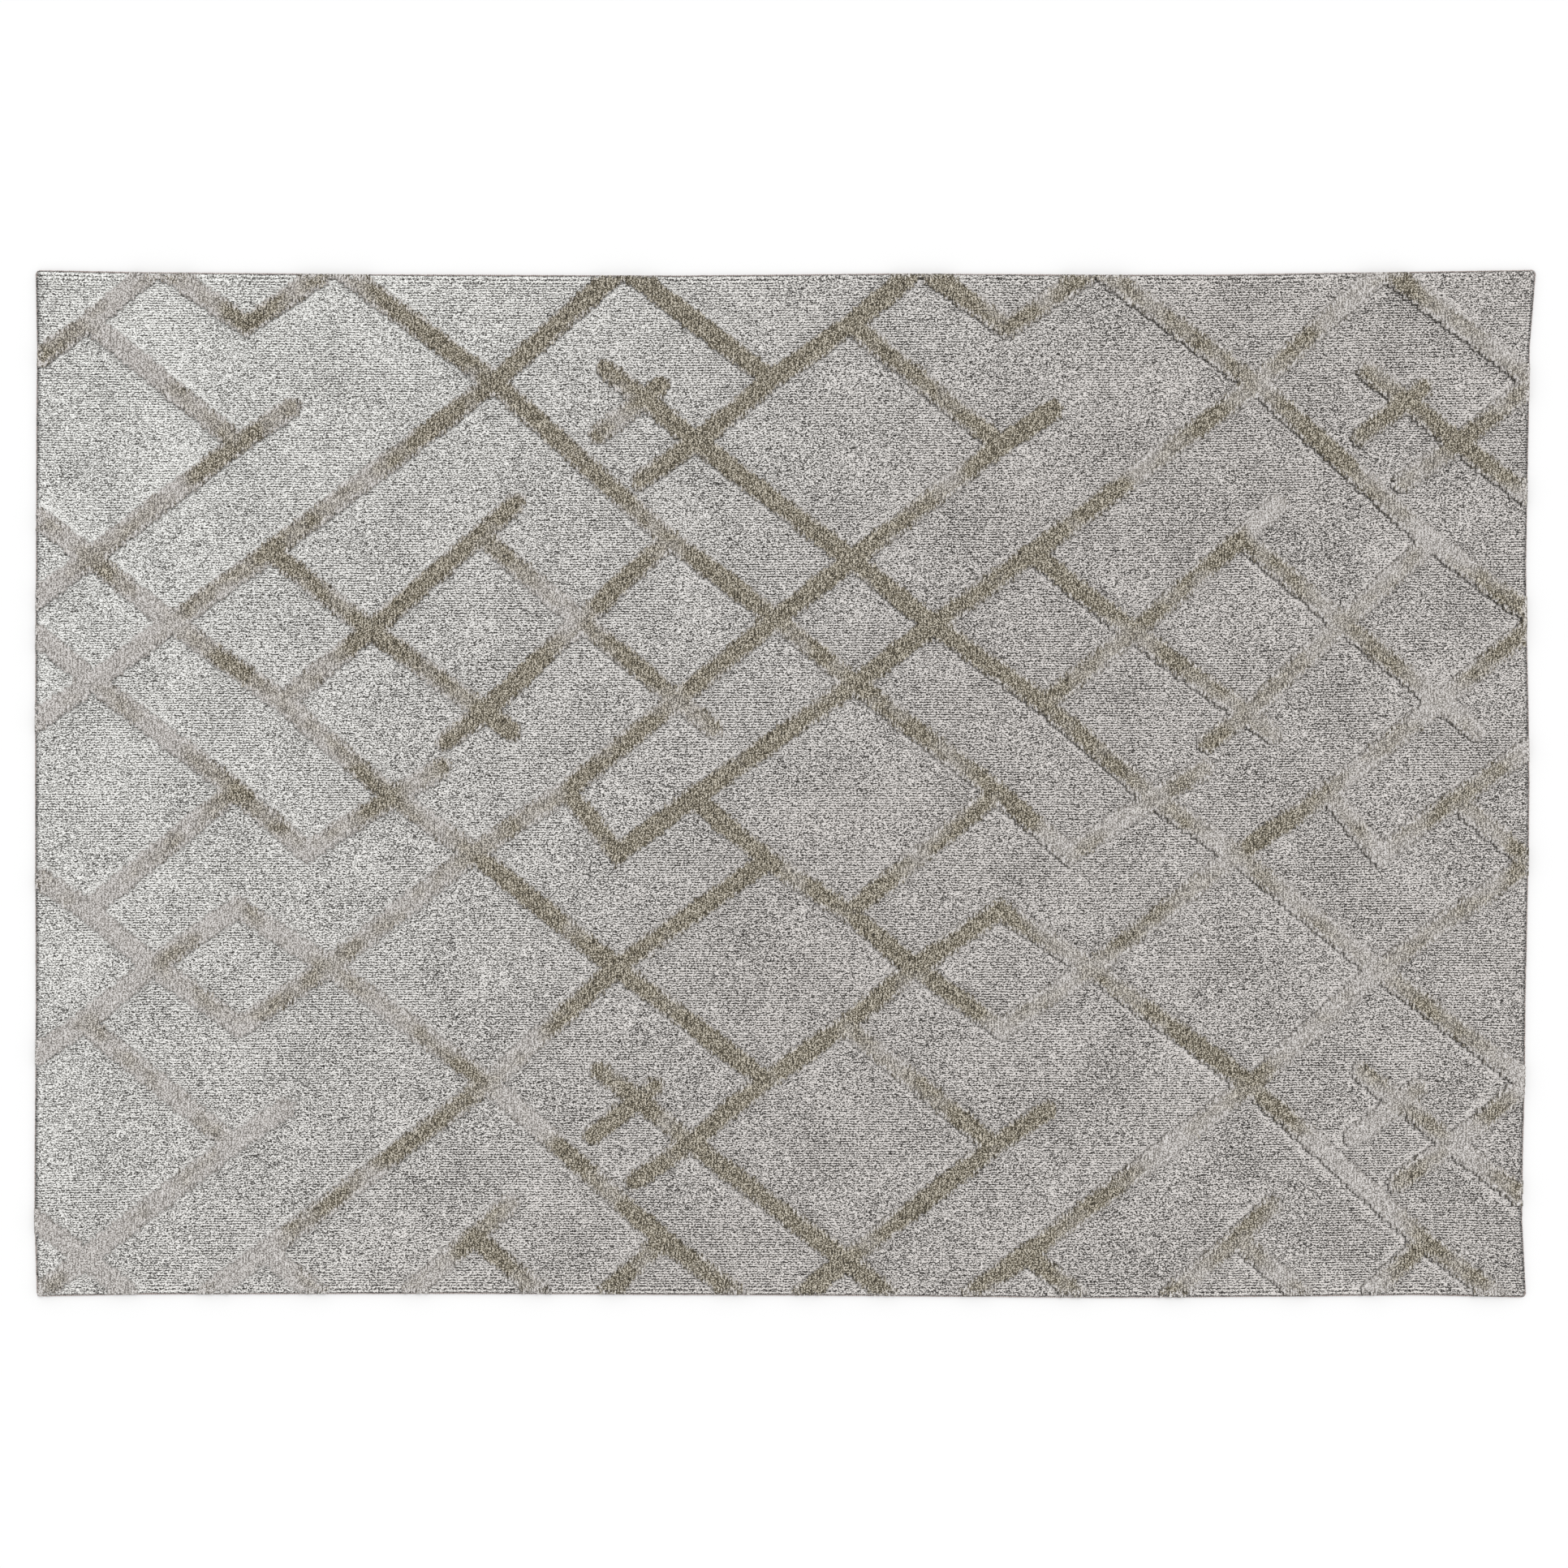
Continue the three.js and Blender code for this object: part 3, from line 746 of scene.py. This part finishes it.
def wrapped_section(run):
    """The overlock's section at each place along a run, swollen outside where the yarn passes, and
    how far up on the yarn each of its points is."""
    outside, inside = np.array(SECTION_OUTSIDE), np.array(SECTION_INSIDE)
    section = np.concatenate([outside, inside])
    count = len(outside)
    tangent = np.roll(section, -1, axis=0) - np.roll(section, 1, axis=0)
    tangent /= np.linalg.norm(tangent, axis=1, keepdims=True)
    normal = np.zeros_like(section)
    normal[:count] = np.stack([tangent[:, 1], -tangent[:, 0]], -1)[:count]
    slant = np.linspace(0, 0.5, len(section))
    phase = run[:, None] / WRAP_PITCH + slant[None, :]
    swell = np.cos(2 * np.pi * phase)
    turn = np.floor(phase).astype(int)
    turn -= turn.min()
    loose = np.random.default_rng(WRAP_SEED).normal(0, 1, turn.max() + 1)[turn]
    height = 0.20 * swell + 0.07 * loose
    grown = section[None] + normal[None] * height[..., None]
    grown[..., 1] = np.maximum(grown[..., 1], 0.0)
    wrap = np.clip(0.5 + 0.35 * swell + 0.12 * loose, 0, 1)
    return grown * MM, wrap


def side_path(side, node, step):
    """The rug's edge along one side, anticlockwise from above, with the way inwards and the
    distance run at each of its points."""
    low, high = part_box(node)
    lengthwise = side in ("front", "back")
    start, end = (low[0], high[0]) if lengthwise else (low[1], high[1])
    run = np.linspace(start, end, int(round((end - start) / step)) + 1)
    across = EDGE[side](run)
    path = np.stack([run, across] if lengthwise else [across, run], -1)
    into = {"front": (0, 1), "back": (0, -1), "left": (1, 0), "right": (-1, 0)}[side]
    if side in ("back", "left"):
        path = path[::-1]
    return path, np.tile(np.array(into, dtype=float), (len(path), 1)), np.abs(run - run[0])


def build_edges(binding, cord):
    """The overlock and the filler cord of each side, and the overlock of each corner."""
    made = {}
    for side in ("front", "right", "back", "left"):
        node = f"overlock_{side}"
        path, inwards, run = side_path(side, node, WRAP_PITCH / 4)
        section, wrap = wrapped_section(run)
        piece = sweep(f"overlock_yarn_{side}", path, inwards, section, wrap, "wrap",
                      binding)
        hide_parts(node)
        made[side] = piece
        build_cord(side, cord)
    for front in ("front", "back"):
        for side in ("left", "right"):
            made[f"{front}_{side}"] = build_corner(front, side, binding)
    return made


def build_corner(front, side, material):
    """The overlock's quarter turn round a corner, a degree short of its neighbours at both ends."""
    node = f"corner_overlock_{front}_{side}"
    low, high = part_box(node)
    centre = np.array([low[0] if side == "right" else high[0],
                       high[1] if front == "front" else low[1]])
    start = {"front_right": -90, "back_right": 0, "back_left": 90, "front_left": 180}
    steps = 17
    angle = np.radians(start[f"{front}_{side}"] + np.linspace(1, 89, steps))
    out = np.stack([np.cos(angle), np.sin(angle)], -1)
    run = np.linspace(0, CORNER_RADIUS * math.pi / 2, steps)
    section, wrap = wrapped_section(run)
    piece = sweep(f"corner_yarn_{front}_{side}", centre + out * CORNER_RADIUS, -out, section, wrap,
                  "wrap", material)
    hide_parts(node)
    return piece


def build_cord(side, material):
    """A filler cord of three plies twisted together."""
    node = f"edge_cord_{side}"
    path, inwards, run = side_path(side, node, PLY_TWIST / 6)
    low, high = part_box(node)
    radius, middle = (high[2] - low[2]) / 2, (low[2] + high[2]) / 2
    plies, points = 3, 12
    around = np.linspace(0, 2 * np.pi, points, endpoint=False)
    twist = 2 * np.pi * run[:, None] / PLY_TWIST
    ply = np.abs(np.cos(plies / 2 * (around[None, :] - twist)))
    reach = radius * (0.84 + 0.13 * ply)
    section = np.stack([CORD_INSET - reach * np.cos(around), middle - reach * np.sin(around)], -1)
    piece = sweep(f"filler_cord_{side}", path, inwards, section, ply, "ply",
                  material)
    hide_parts(node)
    return piece


# ---- Studio ----
def build_studio():
    """A plain pale floor out to the horizon, an even sky and one soft light."""
    view = bpy.context.scene.view_settings
    view.view_transform, view.look, view.exposure, view.gamma = "Standard", "None", 0.0, 1.0
    reach, depth = 60.0, 0.2 * MM
    corners = [(-reach, -reach), (reach, -reach), (reach, reach), (-reach, reach)]
    mesh = bpy.data.meshes.new("floor")
    mesh.from_pydata([(x, y, -depth) for x, y in corners], [], [(0, 1, 2, 3)])
    mesh.materials.append(floor_material())
    floor = bpy.data.objects.new("floor", mesh)
    bpy.context.collection.objects.link(floor)

    world = bpy.data.worlds.new("studio")
    bpy.context.scene.world = world
    world.use_nodes = True
    sky = world.node_tree.nodes["Background"]
    sky.inputs["Color"].default_value = (1.0, 1.0, 1.0, 1)
    sky.inputs["Strength"].default_value = 1.0

    # One broad soft light from the back right, so that shadows fall to the front left.
    data = bpy.data.lights.new("key", "SUN")
    data.energy, data.angle = 1.2, math.radians(20)
    key = bpy.data.objects.new("key", data)
    key.rotation_euler = (math.radians(-20), math.radians(17), 0)
    bpy.context.collection.objects.link(key)


def place_camera():
    """Straight above the rug, with the whole of its length in view."""
    height, seen, aside = 3.6, 2.405, -1.6 * MM
    data = bpy.data.cameras.new("camera")
    data.sensor_width = 36
    data.lens = data.sensor_width * height / seen
    data.clip_end = 50
    camera = bpy.data.objects.new("camera", data)
    camera.location = (aside, 0, height)
    bpy.context.collection.objects.link(camera)
    bpy.context.scene.camera = camera


place_camera()
build_studio()
ground = build_ground(ground_material())
pile_look = pile_material()
pile = [build_pile("raised_lattice_pile", ["raised_lattice"], pile_look),
        build_pile("raised_tip_pile_1", ["raised_tip_1"], pile_look),
        build_pile("raised_tip_pile_2", ["raised_tip_2"], pile_look)]
backing = build_backing(foundation_material())
build_latex(latex_material())
edges = build_edges(binding_material(), cord_material())

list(edges.values())
